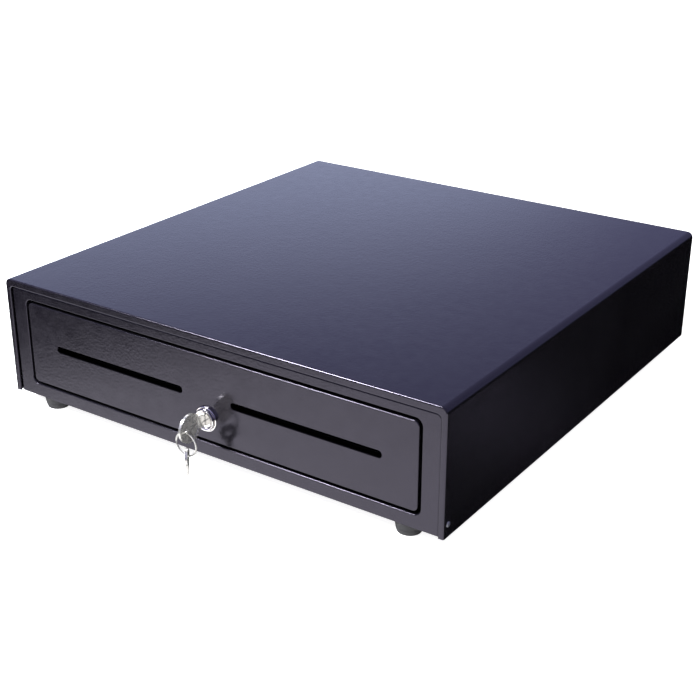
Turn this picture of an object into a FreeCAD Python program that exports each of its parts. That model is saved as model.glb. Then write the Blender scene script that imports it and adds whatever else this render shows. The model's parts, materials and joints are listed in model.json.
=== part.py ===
import FreeCAD, Part
import Sketcher
import math
import os
import re

# Steel cash drawer: an outer case on four rubber feet, a drawer on roller rails, a till,
# a front lock with its keys, and the latch, solenoid and springs behind the drawer.
# Millimetres. The front faces -Y, +X is to the right of a person facing the front, +Z is
# up, and the origin is the centre of the case's footprint on the surface it stands on.

Vector = FreeCAD.Vector
doc = FreeCAD.newDocument("cash_drawer")
sheet = doc.addObject("Spreadsheet::Sheet", "dims")

DIMENSIONS = {
    # the case, its front, the rails, the feet, and the places of what they carry
    "case_width": 410, "case_depth": 420, "case_height": 98, "foot_height": 10,
    "cover_sheet": 1, "steel_sheet": 1.2, "cover_bend": 5, "edge_round": 0.6,
    "front_round": 1.2, "front_hem": 1.8, "hem_edge": 0.9, "hem_round": 4,
    "frame_sheet": 1.6, "frame_edge": 1.5, "frame_gap": 0.3,
    "front_hem_top": 6, "front_hem_side": 4.7, "rear_hem": 12, "hem_gap": 0.1,
    "rail_start": 12, "opening_width": 371, "opening_low": 20.6, "opening_high": 93.8,
    "opening_round": 6, "lip_depth": 10, "upstand_height": 18, "panel_gap": 2.6,
    "face_round": 4, "face_depth": 12, "face_lip": 18,
    "slot_inner": 23, "slot_outer": 154, "slot_centre": 57.8, "slot_height": 5.8, "slot_round": 2.84,
    "window_margin": 3.5,
    "rail_height": 50, "roller_radius": 8, "roller_gap": 0.3, "roller_width": 7,
    "axle_radius": 2.5, "bore_gap": 0.05, "axle_head": 4, "rail_lane": 17,
    "case_axle_back": 22, "drawer_axle_ahead": 10, "stop_gap": 0.5,
    "tub_width": 344, "tub_low": 24.2, "tub_high": 86, "tub_back": 150, "tub_sheet": 1,
    "drawer_rail_width": 11, "travel": 305,
    "foot_inset_side": 34.5, "foot_inset_front": 11, "foot_inset_rear": 16,
    "foot_top_radius": 10.8, "foot_base_radius": 9.2, "foot_recess_radius": 4.6,
    "foot_recess": 4, "screw_radius": 2, "screw_head_radius": 3.8, "screw_head": 2,
    "small_screw_radius": 1.5, "small_screw_head": 0.8, "small_head_radius": 2.1,
    "side_screw_inset": 3.6, "side_screw_height": 19.9,
    "ledge_width": 10, "ledge_height": 43, "till_width": 336, "till_front": 168,
    "till_back": 146, "till_high": 88, "till_wall": 2, "coin_back": 52, "coin_gap": 0.5,
    "coin_high": 86, "cup_floor": 3, "cup_round": 4.2,
    "clip_rod_radius": 2, "clip_rod_y": 137, "clip_rod_z": 81, "clip_width": 12,
    "clip_length": 82, "clip_angle": 23, "clip_hub_radius": 4.2,
    "lock_height": 41, "bezel_radius": 10, "bezel_proud": 4, "barrel_radius": 8.5,
    "barrel_end": 190, "plug_radius": 6, "nut_across": 22, "nut_thick": 3.5,
    "keyway_width": 2.6, "keyway_height": 8.2, "cam_radius": 10, "finger_radius": 2,
    "cam_sheet": 2, "key_sheet": 2, "key_blade": 7.4, "key_blade_length": 21,
    "bow_radius": 11.3, "bow_ahead": 15.4, "bow_hole_ahead": 4.4, "bow_hole_drop": 0.7,
    "bow_hole_radius": 1.7, "ring_radius": 9.4, "ring_wire": 0.65,
    "ring_play": 0.15, "spare_bow": 6.8, "spare_hole": 2.5, "spare_play": 0.6, "spare_blade": 7.4,
    "spare_blade_width": 4.4, "spare_turn": 34.6,
    "latch_x": 22, "latch_y": 198, "latch_z": 69.8, "latch_sheet": 2.4,
    "latch_angle": 16, "latch_pin_radius": 3, "striker_ahead": 36, "striker_side": 8,
    "striker_radius": 2.5, "bracket_high": 57.5, "bracket_sheet": 1.5,
    "solenoid_z": 71, "solenoid_ahead": 18, "solenoid_width": 27, "plunger_radius": 4.4,
    "eject_x": 110, "eject_z": 45, "eject_radius": 7, "socket_x": -146, "socket_z": 31,
    # how the sheets and flanges meet
    "sheet_play": 0.3, "flange_depth": 10, "flange_inset": 9, "rear_screw_low": 20,
    "rear_screw_high": 26, "lip_end": 8, "bar_slot_half": 20, "bar_slot_high": 5,
    "lock_window": 15.4,
    # rollers, axles and the rails' stops
    "roller_side_gap": 2, "roller_dish": 2.2, "dish_depth": 1, "inner_gap": 1, "axle_end": 1.5,
    "stop_length": 6, "foot_screw_end": 4, "small_screw_length": 4,
    # till, trays and clips
    "ledge_drop": 13, "ledge_short": 2, "bay_round": 3, "coin_lift": 0.2, "cup_corner": 5,
    "clip_thick": 2.6, "clip_tip": 3, "clip_coil_radius": 3.4, "clip_coil_play": 0.3,
    "clip_coil_length": 8, "clip_coil_gap": 0.5,
    # lock, bar and rivet
    "bezel_chamfer": 1.2, "bezel_rim": 2, "dish_sink": 1.4, "dish_play": 0.7,
    "plug_sunk": 0.8, "keyway_end": 1.5, "cam_gap": 0.4, "cam_margin": 1.5,
    "finger_length": 7.1, "cam_screw_head": 1.4, "fork_prong": 1.5, "fork_slack": 2.6,
    "fork_depth": 5, "fork_above": 3, "bar_thick": 2, "bar_lift": 0.4, "bar_past": 8,
    "bar_pivot_y": -20, "rivet_head": 1.2, "key_short": 0.4,
    # latch, solenoid and striker
    "hook_half": 6, "hook_neck": 2, "hook_root": 8, "hook_waist": 12, "hook_nose": 3,
    "hook_play": 0.5, "hook_throat": 7.2, "pin_slot_half": 1.9, "pin_slot_mid": 2,
    "pin_slot_long": 4, "pin_slot_short": 2.5,
    "bracket_foot": 12, "bracket_front": 30, "bracket_rear": 6, "pin_collar": 2,
    "pin_play": 0.3, "pin_head": 1.2, "solenoid_sheet": 2, "coil_radius": 11.2,
    "core_start": 8, "plunger_start": 22, "plunger_end": 6, "collar_radius": 6.5,
    "collar_near": 21, "collar_far": 19, "fork_half": 4.6, "cheek_half": 3.5,
    "spring_wire": 1.2, "spring_play": 0.5, "striker_half": 8, "striker_high": 15,
    "ear_half": 6, "ear_past": 4, "ear_sheet": 2, "ear_gap": 10,
    # ejectors, switch and socket
    "guide_length": 44, "guide_flange": 1.5, "guide_play": 3, "spring_gap": 0.6,
    "switch_wide": 6.5, "switch_low": 36, "switch_high": 46, "switch_start": 6,
    "seat_play": 0.2, "button_low": 39.5, "button_high": 42.5, "button_inset": 1.5,
    "button_wide": 3.5, "button_proud": 0.4, "button_end": 11, "well_end": 13,
    "socket_half": 8, "socket_depth": 17, "mouth_half": 6, "mouth_depth": 12,
    "mouth_low": 4.4, "mouth_high": 3.6,
}
for row, (alias, number) in enumerate(DIMENSIONS.items(), start=1):
    sheet.set(f"A{row}", alias.replace("_", " "))
    sheet.set(f"B{row}", str(number))
    sheet.setAlias(f"B{row}", alias)
doc.recompute()

ALIAS = re.compile(r"\b(" + "|".join(sorted(DIMENSIONS, key=len, reverse=True)) + r")\b")
pieces = []


def bound(expression):
    """The expression with each alias written as a cell of the sheet."""
    return ALIAS.sub(r"dims.\1", str(expression))


def value(expression):
    """The number that an expression comes to now."""
    return float(sheet.evalExpression(bound(expression)))


def fixed_point(drawn, edge, point, u, v):
    """Holds a sketch point at two expressions, measured from the sketch's origin."""
    for kind, axis, expression in (("DistanceX", -2, u), ("DistanceY", -1, v)):
        number = value(expression)
        if abs(number) < 1e-9:
            drawn.addConstraint(Sketcher.Constraint("PointOnObject", edge, point, axis))
            continue
        at = drawn.addConstraint(Sketcher.Constraint(kind, -1, 1, edge, point, number))
        drawn.setExpression(f"Constraints[{at}]", bound(expression))


def polygon(points):
    """A closed outline of straight sides through the points."""

    def draw(drawn):
        corners = [Vector(value(u), value(v), 0) for u, v in points]
        ahead = corners[1:] + corners[:1]
        first = drawn.GeometryCount
        drawn.addGeometry([Part.LineSegment(a, b) for a, b in zip(corners, ahead)], False)
        for i, (u, v) in enumerate(points):
            after = first + (i + 1) % len(points)
            drawn.addConstraint(Sketcher.Constraint("Coincident", first + i, 2, after, 1))
            fixed_point(drawn, first + i, 1, u, v)

    return draw


def rectangle(u, v):
    """An upright rectangle between two pairs of expressions."""
    return polygon([(u[0], v[0]), (u[1], v[0]), (u[1], v[1]), (u[0], v[1])])


def circle(u, v, radius):
    """A circle about a point."""

    def draw(drawn):
        centre = Vector(value(u), value(v), 0)
        edge = drawn.addGeometry(Part.Circle(centre, Vector(0, 0, 1), value(radius)), False)
        fixed_point(drawn, edge, 3, u, v)
        at = drawn.addConstraint(Sketcher.Constraint("Radius", edge, value(radius)))
        drawn.setExpression(f"Constraints[{at}]", bound(radius))

    return draw


def rounded(u, v, radius):
    """An upright rectangle with round corners, as four lines joined by four arcs."""

    def draw(drawn):
        left, right = (value(x) for x in u)
        low, high = (value(x) for x in v)
        r = value(radius)
        turn = math.pi / 2
        centres = [(right - r, low + r), (right - r, high - r),
                   (left + r, high - r), (left + r, low + r)]
        starts = [(left + r, low), (right, low + r), (right - r, high), (left, high - r)]
        ends = [(right - r, low), (right, high - r), (left + r, high), (left, low + r)]
        first = drawn.GeometryCount
        for i in range(4):
            line = Part.LineSegment(Vector(*starts[i], 0), Vector(*ends[i], 0))
            whole = Part.Circle(Vector(*centres[i], 0), Vector(0, 0, 1), r)
            arc = Part.ArcOfCircle(whole, (i - 1) * turn, i * turn)
            drawn.addGeometry([line, arc], False)
        for i in range(4):
            line, arc, after = first + 2 * i, first + 2 * i + 1, first + 2 * (i + 1) % 8
            drawn.addConstraint(Sketcher.Constraint("Tangent", line, 2, arc, 1))
            drawn.addConstraint(Sketcher.Constraint("Tangent", arc, 2, after, 1))
            level = "Vertical" if i % 2 else "Horizontal"
            drawn.addConstraint(Sketcher.Constraint(level, line))
            if i:
                drawn.addConstraint(Sketcher.Constraint("Equal", first + 1, arc))
        at = drawn.addConstraint(Sketcher.Constraint("Radius", first + 1, r))
        drawn.setExpression(f"Constraints[{at}]", bound(radius))
        sides = [("DistanceY", 0, v[0]), ("DistanceX", 2, u[1]),
                 ("DistanceY", 4, v[1]), ("DistanceX", 6, u[0])]
        for kind, line, side in sides:
            rule = Sketcher.Constraint(kind, -1, 1, first + line, 1, value(side))
            at = drawn.addConstraint(rule)
            drawn.setExpression(f"Constraints[{at}]", bound(side))

    return draw


# which origin plane faces along each axis, and which way its sketches face
PLANES = {"x": ("YZ_Plane", 1), "y": ("XZ_Plane", -1), "z": ("XY_Plane", 1)}


def body(label):
    """An empty body that becomes one piece."""
    made = doc.addObject("PartDesign::Body", label)
    made.Label = label
    pieces.append(made)
    return made


def sketch(owner, axis, level, drawings):
    """A sketch across an axis at a level, with its outlines."""
    role, sense = PLANES[axis]
    drawn = owner.newObject("Sketcher::SketchObject", owner.Name + "_sketch")
    plane = next(p for p in owner.Origin.OriginFeatures if p.Role == role)
    drawn.AttachmentSupport = [(plane, "")]
    drawn.MapMode = "FlatFace"
    drawn.setExpression("AttachmentOffset.Base.z", bound(f"{sense} * ({level})"))
    for draw in drawings:
        draw(drawn)
    return drawn


def feature(owner, kind, axis, span, drawings):
    """A pad or pocket of the outlines, over a span of an axis."""
    grows = (kind == "Pad") == (PLANES[axis][1] > 0)
    drawn = sketch(owner, axis, span[0] if grows else span[1], drawings)
    made = owner.newObject("PartDesign::" + kind, owner.Name + "_" + kind.lower())
    made.Profile = drawn
    made.setExpression("Length", bound(f"({span[1]}) - ({span[0]})"))
    return made


def pad(owner, axis, span, *drawings):
    return feature(owner, "Pad", axis, span, drawings)


def pocket(owner, axis, span, *drawings):
    """A pocket, which must take material away."""
    doc.recompute()
    before = owner.Tip.Shape.Volume
    made = feature(owner, "Pocket", axis, span, drawings)
    doc.recompute()
    if made.Shape.Volume > before - 1e-3:
        raise RuntimeError(f"{owner.Label}: a pocket took nothing away")
    return made


def soften(owner, radius, chosen):
    """Rounds each edge of the body that chosen picks."""
    doc.recompute()
    base = owner.Tip
    names = [f"Edge{n}" for n, edge in enumerate(base.Shape.Edges, 1) if chosen(edge)]
    if not names:
        raise RuntimeError(f"{owner.Label}: no edge to round")
    made = owner.newObject("PartDesign::Fillet", owner.Name + "_round")
    made.Base = (base, names)
    made.setExpression("Radius", bound(radius))
    return made


def spans(edge):
    """An edge's box as {axis: (low, high)}."""
    box = edge.BoundBox
    return {"x": (box.XMin, box.XMax), "y": (box.YMin, box.YMax), "z": (box.ZMin, box.ZMax)}


def lies(edge, axis, *levels):
    """Whether an edge lies flat at one of the levels of an axis."""
    low, high = spans(edge)[axis]
    return high - low < 1e-3 and any(abs(low - value(level)) < 1e-3 for level in levels)


def reaches(edge, level):
    """Whether an edge gets as far out to a side as the level."""
    return max(abs(x) for x in spans(edge)["x"]) > value(level) - 1e-3


def runs(edge, axis):
    """Whether an edge is straight along an axis."""
    size = {a: high - low for a, (low, high) in spans(edge).items()}
    return size[axis] > 1e-3 and sum(size.values()) - size[axis] < 1e-3


def block(name, x, y, z):
    """A box between three pairs of expressions."""
    made = doc.addObject("Part::Box", name)
    for size, axis, (low, high) in zip(("Length", "Width", "Height"), "xyz", (x, y, z)):
        made.setExpression(size, bound(f"({high}) - ({low})"))
        made.setExpression(f"Placement.Base.{axis}", bound(low))
    return made


AXIS_TURN = {
    "x": FreeCAD.Rotation(Vector(0, 1, 0), 90),
    "y": FreeCAD.Rotation(Vector(1, 0, 0), -90),
    "z": FreeCAD.Rotation(),
}


def along(made, axis, span, centre):
    """Lays a round primitive along an axis from the start of the span, about a centre."""
    made.Placement = FreeCAD.Placement(Vector(), AXIS_TURN[axis])
    made.setExpression("Height", bound(f"({span[1]}) - ({span[0]})"))
    made.setExpression(f"Placement.Base.{axis}", bound(span[0]))
    for across, level in zip([a for a in "xyz" if a != axis], centre):
        made.setExpression(f"Placement.Base.{across}", bound(level))
    return made


def rod(name, axis, radius, span, centre):
    """A cylinder along an axis, about a centre given on the other two axes in order."""
    made = doc.addObject("Part::Cylinder", name)
    made.setExpression("Radius", bound(radius))
    return along(made, axis, span, centre)


def cone(name, axis, radii, span, centre):
    """A cone along an axis, from the first radius to the second."""
    made = doc.addObject("Part::Cone", name)
    made.setExpression("Radius1", bound(radii[0]))
    made.setExpression("Radius2", bound(radii[1]))
    return along(made, axis, span, centre)


def fused(name, solids):
    made = doc.addObject("Part::MultiFuse", name)
    made.Shapes = solids
    return made


def cut(name, base, tools):
    """The base with every tool taken out of it."""
    made = doc.addObject("Part::Cut", name)
    made.Base = base
    made.Tool = tools[0] if len(tools) == 1 else fused(name + "_tools", tools)
    return made


def piece(label, solids):
    """Names one solid, or a group of separate ones, as a piece of the drawer."""
    made = solids[0]
    if len(solids) > 1:
        made = doc.addObject("Part::Compound", label)
        made.Links = solids
    made.Label = label
    pieces.append(made)
    return made


# ---- levels that several pieces share; a cut runs 1 past each face that it goes through ----
FRONT = "-case_depth/2"
BACK = "case_depth/2"
FLOOR = "foot_height"
TOP = "(foot_height + case_height)"
HALF = "case_width/2"
INNER = "(case_width/2 - cover_sheet)"
PAN_TOP = "(foot_height + steel_sheet)"
PANEL = "(case_depth/2 - 2*cover_sheet)"
FACE_HALF = "(opening_width/2 - panel_gap)"
FACE_LOW = "(opening_low + panel_gap)"
FACE_HIGH = "(opening_high - panel_gap)"
FACE_BACK = "(-case_depth/2 + face_depth)"
CHANNEL = "(roller_radius + roller_gap)"
RAIL_FREE = f"({INNER} - rail_lane)"
CASE_AXLE_Y = "(-case_depth/2 + case_axle_back)"
DRAWER_AXLE_Y = "(tub_back - drawer_axle_ahead)"
TUB_HALF = "tub_width/2"
TUB_FLOOR = "(tub_low + tub_sheet)"
SIDES = {"left": "-1", "right": "1"}
FEET = {
    f"{end}_{side}": (f"{sign} * ({HALF} - foot_inset_side)", y)
    for end, y in (("front", f"{FRONT} + foot_inset_front"),
                   ("rear", f"{BACK} - foot_inset_rear"))
    for side, sign in SIDES.items()
}
REAR_SCREWS = [(f"{sign} * ({HALF} - rear_hem/2)", z) for sign in SIDES.values()
               for z in (f"{FLOOR} + rear_screw_low", f"{TOP} - rear_screw_high")]
REAR_SCREWS += [(f"{sign} * {HALF}/2", f"{TOP} - rear_hem/2") for sign in SIDES.values()]


def arch(half, high, inner_half, inner_high, low=FLOOR):
    """A wide arch: two legs and a top, open at the bottom."""
    return polygon([
        (f"-({half})", low), (f"-({half})", high), (half, high), (half, low),
        (inner_half, low), (inner_half, inner_high),
        (f"-({inner_half})", inner_high), (f"-({inner_half})", low),
    ])


def outer_cover():
    """The bent sheet over the top and sides, with a hem round its front and rear."""
    made = body("outer_cover")
    ahead = f"({FRONT} - hem_gap - front_hem)"
    pad(made, "y", (ahead, BACK), arch(HALF, TOP, INNER, f"{TOP} - cover_sheet"))
    pad(made, "y", (ahead, f"{FRONT} - hem_gap"),
        arch(HALF, TOP, f"{HALF} - front_hem_side", f"{TOP} - front_hem_top"))
    pad(made, "y", (f"{BACK} - cover_sheet", BACK),
        arch(HALF, TOP, f"{HALF} - rear_hem", f"{TOP} - rear_hem"))
    screw = circle(f"{FRONT} + side_screw_inset", "side_screw_height", "small_screw_radius")
    pocket(made, "x", (f"-({HALF}) - 1", f"{HALF} + 1"), screw)
    holes = [circle(x, z, "small_screw_radius") for x, z in REAR_SCREWS]
    pocket(made, "y", (f"{BACK} - cover_sheet", f"{BACK} + 1"), *holes)
    soften(made, "cover_bend", lambda e: runs(e, "y") and lies(e, "z", TOP))
    soften(made, "cover_bend - cover_sheet",
           lambda e: runs(e, "y") and lies(e, "z", f"{TOP} - cover_sheet")
           and e.Length > value("case_depth") / 2)
    soften(made, "hem_round",
           lambda e: runs(e, "y") and lies(e, "z", f"{TOP} - front_hem_top"))
    soften(made, "hem_edge", lambda e: lies(e, "y", ahead)
           and not (lies(e, "z", FLOOR, TOP) or reaches(e, HALF)))
    soften(made, "front_round", lambda e: lies(e, "y", ahead)
           and (lies(e, "z", TOP) or reaches(e, HALF)) and not lies(e, "z", FLOOR))
    return made


def base_pan():
    """The floor of the case, with an upstand along each side inside the cover."""
    made = body("base_pan")
    low, inner, top = FLOOR, f"({INNER} - steel_sheet)", f"{FLOOR} + upstand_height"
    pad(made, "y", (f"{FRONT} + frame_sheet", PANEL), polygon([
        (f"-{INNER}", top), (f"-{INNER}", low), (INNER, low), (INNER, top),
        (inner, top), (inner, PAN_TOP), (f"-{inner}", PAN_TOP), (f"-{inner}", top)]))
    pocket(made, "z", (f"{FLOOR} - 1", f"{PAN_TOP} + 1"),
           *[circle(x, y, "screw_radius + bore_gap") for x, y in FEET.values()])
    screw = circle(f"{FRONT} + side_screw_inset", "side_screw_height",
                   "small_screw_radius + bore_gap")
    pocket(made, "x", (f"-({HALF})", HALF), screw)
    return made


def rear_panel():
    """The back of the case, with a flange along its top and the socket's cut-out."""
    made = body("rear_panel")
    half, low = f"({INNER} - sheet_play)", f"({PAN_TOP} + sheet_play)"
    high = f"({TOP} - cover_sheet - sheet_play)"
    pad(made, "y", (PANEL, f"{PANEL} + cover_sheet"),
        rounded((f"-{half}", half), (low, high), "cover_bend"))
    pad(made, "y", (f"{PANEL} - flange_depth", f"{PANEL} + cover_sheet/2"),
        rectangle((f"-{half} + flange_inset", f"{half} - flange_inset"),
                  (f"{high} - cover_sheet", high)))
    pocket(made, "y", (f"{PANEL} - 1", f"{PANEL} + 2*cover_sheet"),
           rectangle(("socket_x - socket_half", "socket_x + socket_half"),
                     ("socket_z - socket_half", "socket_z + socket_half")),
           *[circle(x, z, "small_screw_radius") for x, z in REAR_SCREWS])
    return made


def front_frame():
    """The frame round the drawer, inside the hem, folded back at its edge and its opening."""
    made = body("front_frame")
    half, lip = "opening_width/2", "steel_sheet"
    side = f"({HALF} - front_hem_side - frame_gap)"
    high = f"({TOP} - front_hem_top - frame_gap)"
    pad(made, "y", (FRONT, f"{FRONT} + frame_sheet"),
        rectangle((f"-{side}", side), (FLOOR, high)))
    pad(made, "y", (FRONT, f"{FRONT} + rail_start"),
        arch(side, high, f"{side} - frame_sheet", f"{high} - frame_sheet",
             f"({PAN_TOP} + sheet_play)"))
    pad(made, "y", (FRONT, f"{FRONT} + lip_depth"),
        rounded((f"-{half} - {lip}", f"{half} + {lip}"),
                (f"opening_low - {lip}", f"opening_high + {lip}"),
                f"opening_round + {lip}"))
    pocket(made, "y", (f"{FRONT} - 1", f"{FRONT} + lip_depth + 1"),
           rounded((f"-{half}", half), ("opening_low", "opening_high"), "opening_round"))
    soften(made, "hem_round", lambda e: runs(e, "y") and lies(e, "z", high))
    soften(made, "hem_round - frame_sheet",
           lambda e: runs(e, "y") and lies(e, "z", f"{high} - frame_sheet"))
    soften(made, "frame_edge", lambda e: lies(e, "y", FRONT)
           and (lies(e, "z", high) or reaches(e, side)) and not lies(e, "z", FLOOR))
    soften(made, "edge_round", lambda e: lies(e, "y", FRONT)
           and not reaches(e, f"{half} + edge_round"))
    return made


def channel(made, side, root, free, y):
    """A C-shaped rail, open towards its free edge, at the height of the rollers."""
    low, high = f"(rail_height - {CHANNEL})", f"(rail_height + {CHANNEL})"
    turn = f"{side} * "
    web = f"({root} + steel_sheet)" if value(root) < value(free) else f"({root} - steel_sheet)"
    pad(made, "y", y, polygon([
        (turn + root, f"{low} - steel_sheet"), (turn + root, f"{high} + steel_sheet"),
        (turn + free, f"{high} + steel_sheet"), (turn + free, high), (turn + web, high),
        (turn + web, low), (turn + free, low), (turn + free, f"{low} - steel_sheet")]))


def case_rail(side, sign):
    """The fixed rail on the cover's side, with the stop that ends the drawer's travel."""
    made = body("case_rail_" + side)
    channel(made, sign, INNER, RAIL_FREE,
            (f"{FRONT} + rail_start + stop_gap", f"{BACK} - rear_hem"))
    stop = f"({DRAWER_AXLE_Y} - travel - roller_radius - stop_gap)"
    u = sorted((f"{sign} * ({INNER} - steel_sheet/2)", f"{sign} * ({RAIL_FREE} + inner_gap)"),
               key=value)
    pad(made, "y", (f"{stop} - stop_length", stop),
        rectangle(u, (f"rail_height - {CHANNEL} - steel_sheet/2", "rail_height")))
    return made


def sided(sign, low, high):
    """A span on the right-hand side, or its mirror on the left."""
    return sorted((f"{sign} * ({low})", f"{sign} * ({high})"), key=value)


def roller(label, sign, lane, y):
    """A nylon roller with a bore for its axle and a groove for grease."""
    centre = (y, "rail_height")
    tyre = rod(label + "_tyre", "x", "roller_radius", sided(sign, *lane), centre)
    bore = rod(label + "_bore", "x", "axle_radius + bore_gap",
               sided(sign, f"{lane[0]} - 1", f"{lane[1]} + 1"), centre)
    rims = sided(sign, f"{lane[1]} - dish_depth", f"{lane[1]} + 1")
    dish = rod(label + "_dish", "x", "roller_radius - roller_dish", rims, centre)
    return piece(label, [cut(label + "_turned", tyre, [bore, dish])])


def axle(name, sign, root, head, y):
    """A riveted axle from its rail to its head."""
    centre = (y, "rail_height")
    outward = value(head) > value(root)
    under = f"({head} - steel_sheet)" if outward else f"({head} + steel_sheet)"
    shaft = rod(name + "_shaft", "x", "axle_radius", sided(sign, root, head), centre)
    knob = rod(name + "_head", "x", "axle_head", sided(sign, under, head), centre)
    return fused(name, [shaft, knob])


def rollers():
    """Two rollers fixed near the front of the case, and two at the rear of the drawer."""
    case_start = f"({TUB_HALF} + steel_sheet + roller_side_gap)"
    drawer_start = f"({RAIL_FREE} + inner_gap)"
    case_lane = (case_start, f"({case_start} + roller_width)")
    drawer_lane = (drawer_start, f"({drawer_start} + roller_width)")
    for side, sign in SIDES.items():
        roller("case_roller_" + side, sign, case_lane, CASE_AXLE_Y)
        roller("drawer_roller_" + side, sign, drawer_lane, DRAWER_AXLE_Y)
    piece("case_roller_axles", [
        axle("case_axle_" + side, sign, f"({INNER} - steel_sheet)",
             f"({TUB_HALF} + steel_sheet + stop_gap)", CASE_AXLE_Y)
        for side, sign in SIDES.items()])
    piece("drawer_roller_axles", [
        axle("drawer_axle_" + side, sign, f"({TUB_HALF} + steel_sheet)",
             f"({drawer_start} + roller_width + axle_end)", DRAWER_AXLE_Y)
        for side, sign in SIDES.items()])


def feet():
    """Four tapered rubber feet, each held by a screw sunk in its underside."""
    screws = []
    for name, at in FEET.items():
        shape = cone(f"{name}_rubber", "z", ("foot_base_radius", "foot_top_radius"),
                     ("0", FLOOR), at)
        sink = rod(f"{name}_sink", "z", "foot_recess_radius", ("-1", "foot_recess"), at)
        bore = rod(f"{name}_bore", "z", "screw_radius + bore_gap", ("0", f"{FLOOR} + 1"), at)
        piece("foot_" + name, [cut(f"{name}_moulded", shape, [sink, bore])])
        head = rod(f"{name}_head", "z", "screw_head_radius",
                   ("foot_recess - screw_head", "foot_recess"), at)
        shank = rod(f"{name}_shank", "z", "screw_radius",
                    ("foot_recess - screw_head/2", f"{PAN_TOP} + foot_screw_end"), at)
        screws.append(fused(f"{name}_screw", [head, shank]))
    piece("foot_screws", screws)


def small_screw(name, axis, face, outward, centre):
    """A small round-headed screw whose head sits on a face of the case."""
    head = sorted((face, f"{face} + {outward} * small_screw_head"), key=value)
    shank = sorted((face, f"{face} - {outward} * small_screw_length"), key=value)
    parts = [rod(name + "_head", axis, "small_head_radius", head, centre),
             rod(name + "_shank", axis, "small_screw_radius", shank, centre)]
    return fused(name, parts)


def case_screws():
    """One screw low on each side of the cover, and six round the rear panel."""
    low_front = (f"{FRONT} + side_screw_inset", "side_screw_height")
    piece("cover_screws", [small_screw("side_screw_" + side, "x", f"{sign} * {HALF}", sign,
                                       low_front) for side, sign in SIDES.items()])
    piece("rear_screws", [small_screw(f"rear_screw_{n}", "y", BACK, "1", at)
                          for n, at in enumerate(REAR_SCREWS)])


def drawer_front():
    """The face panel, folded back all round, with two media slots and the lock's hole."""
    made = body("drawer_front")
    u, v = (f"-{FACE_HALF}", FACE_HALF), (FACE_LOW, FACE_HIGH)
    pad(made, "y", (FRONT, FACE_BACK), rounded(u, v, "face_round"))
    pocket(made, "y", (f"{FRONT} + steel_sheet", f"{FACE_BACK} + 1"),
           rounded((f"-{FACE_HALF} + steel_sheet", f"{FACE_HALF} - steel_sheet"),
                   (f"{FACE_LOW} + steel_sheet", f"{FACE_HIGH} - steel_sheet"),
                   "face_round - steel_sheet"))
    for sign in SIDES.values():
        pad(made, "y", (f"{FACE_BACK} - steel_sheet", FACE_BACK),
            rectangle(sided(sign, f"{FACE_HALF} - face_lip", f"{FACE_HALF} - steel_sheet/2"),
                      (f"{FACE_LOW} + lip_end", f"{FACE_HIGH} - lip_end")))
    slot = ("slot_centre - slot_height/2", "slot_centre + slot_height/2")
    pocket(made, "y", (f"{FRONT} - 1", f"{FRONT} + steel_sheet + 1"),
           *[rounded(sided(sign, "slot_inner", "slot_outer"), slot, "slot_round")
             for sign in SIDES.values()],
           circle("0", "lock_height", "barrel_radius + bore_gap"))
    soften(made, "edge_round", lambda e: lies(e, "y", FRONT)
           and not (e.BoundBox.ZMax < value("slot_centre + slot_height")
                    and e.BoundBox.ZMin > value("lock_height - barrel_radius - 1")
                    and max(abs(x) for x in spans(e)["x"]) < value("slot_outer + 1")))
    return made


def drawer_tub():
    """The welded drawer box: windows behind the slots and lock, a slot for the lock bar."""
    made = body("drawer_tub")
    pad(made, "z", ("tub_low", "tub_high"),
        rectangle((f"-{TUB_HALF}", TUB_HALF), (FACE_BACK, "tub_back")))
    pocket(made, "z", (TUB_FLOOR, "tub_high + 1"),
           rectangle((f"-{TUB_HALF} + tub_sheet", f"{TUB_HALF} - tub_sheet"),
                     (f"{FACE_BACK} + tub_sheet", "tub_back - tub_sheet")))
    slot = ("slot_centre - slot_height/2 - window_margin",
            "slot_centre + slot_height/2 + window_margin")
    pocket(made, "y", (f"{FACE_BACK} - 1", f"{FACE_BACK} + tub_sheet + 1"),
           *[rectangle(sided(sign, "slot_inner - window_margin", "slot_outer + window_margin"),
                       slot) for sign in SIDES.values()],
           circle("0", "lock_height", "lock_window"))
    pocket(made, "y", ("tub_back - tub_sheet - 1", "tub_back + 1"),
           rectangle(("-bar_slot_half", "bar_slot_half"),
                     (TUB_FLOOR, f"{TUB_FLOOR} + bar_slot_high")))
    return made


def drawer_rail(side, sign):
    """The rail on the side of the drawer that rides on the case roller."""
    made = body("drawer_rail_" + side)
    channel(made, sign, TUB_HALF, f"({TUB_HALF} + drawer_rail_width)",
            (FACE_BACK, "tub_back"))
    return made


def till_ledge(side, sign):
    """The angle inside the drawer that holds the till clear of the floor."""
    made = body("till_ledge_" + side)
    wall, free = f"({TUB_HALF} - tub_sheet)", f"({TUB_HALF} - tub_sheet - ledge_width)"
    under = "(ledge_height - steel_sheet)"
    inner = f"({TUB_HALF} - tub_sheet - steel_sheet)"
    pad(made, "y", ("-till_front", "till_back - ledge_short"), polygon([
        (f"{sign} * {wall}", "ledge_height"), (f"{sign} * {free}", "ledge_height"),
        (f"{sign} * {free}", under), (f"{sign} * {inner}", under),
        (f"{sign} * {inner}", "ledge_height - ledge_drop"),
        (f"{sign} * {wall}", "ledge_height - ledge_drop")]))
    return made


BILLS = 5
BILL_WIDTH = f"((till_width - {BILLS + 1} * till_wall) / {BILLS})"
BILL_PITCH = f"({BILL_WIDTH} + till_wall)"
COIN_COLUMNS, COIN_ROWS = 4, 2


def bill_centre(number):
    """The middle of a note compartment, counted from the left."""
    return f"(({number} - {(BILLS - 1) / 2}) * {BILL_PITCH})"


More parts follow.
